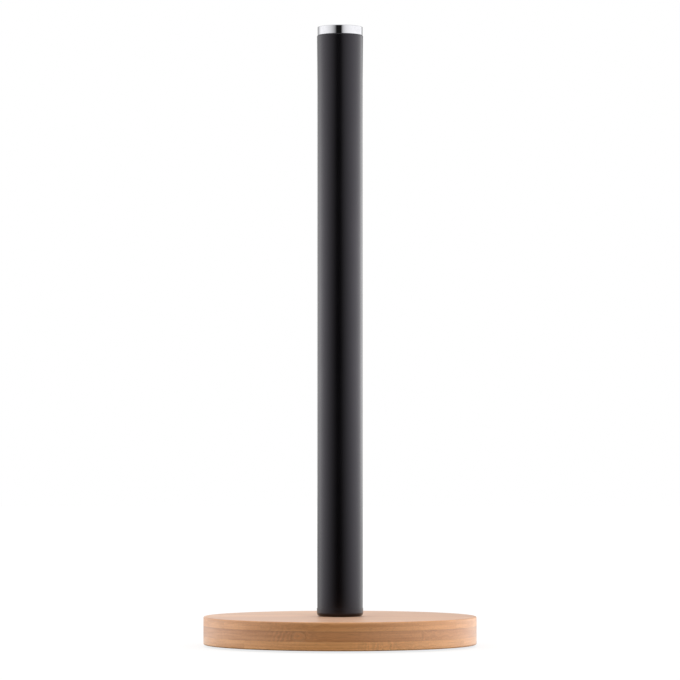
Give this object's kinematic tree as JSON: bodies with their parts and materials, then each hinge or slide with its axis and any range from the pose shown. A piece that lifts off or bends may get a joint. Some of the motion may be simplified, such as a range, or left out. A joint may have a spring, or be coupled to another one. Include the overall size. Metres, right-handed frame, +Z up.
{
  "type": "paper towel holder",
  "caption": "Upright paper towel holder: a round three-ply bamboo base with a straight black coated post, closed at the top by a polished chrome cap.",
  "frame": {"origin": "centre of the base, on the surface the holder stands on", "axes": "+Z up the post; the holder is round, so X and Y are free apart from the four pads, which stand on the diagonals"},
  "size_m": [0.145, 0.145, 0.3299],
  "materials": {
    "bamboo_top": "satin lacquered bamboo, long grain",
    "bamboo_core": "satin lacquered bamboo, darker core ply",
    "bamboo_bottom": "satin lacquered bamboo, paler lowest ply",
    "black_coating": "satin black powder coat",
    "chrome": "mirror polished",
    "zinc_steel": "bright zinc plated",
    "pad_rubber": "matt foam rubber"
  },
  "bodies": {
    "root": {"base_top_ply": "bamboo_top", "base_core_ply": "bamboo_core", "base_bottom_ply": "bamboo_bottom", "post_tube": "black_coating", "foot_plug": "black_coating", "top_cap": "chrome", "fixing_screw": "zinc_steel", "spring_washer": "zinc_steel", "flat_washer": "zinc_steel", "foot_pad_1": "pad_rubber", "foot_pad_2": "pad_rubber", "foot_pad_3": "pad_rubber", "foot_pad_4": "pad_rubber"}
  },
  "joints": []
}
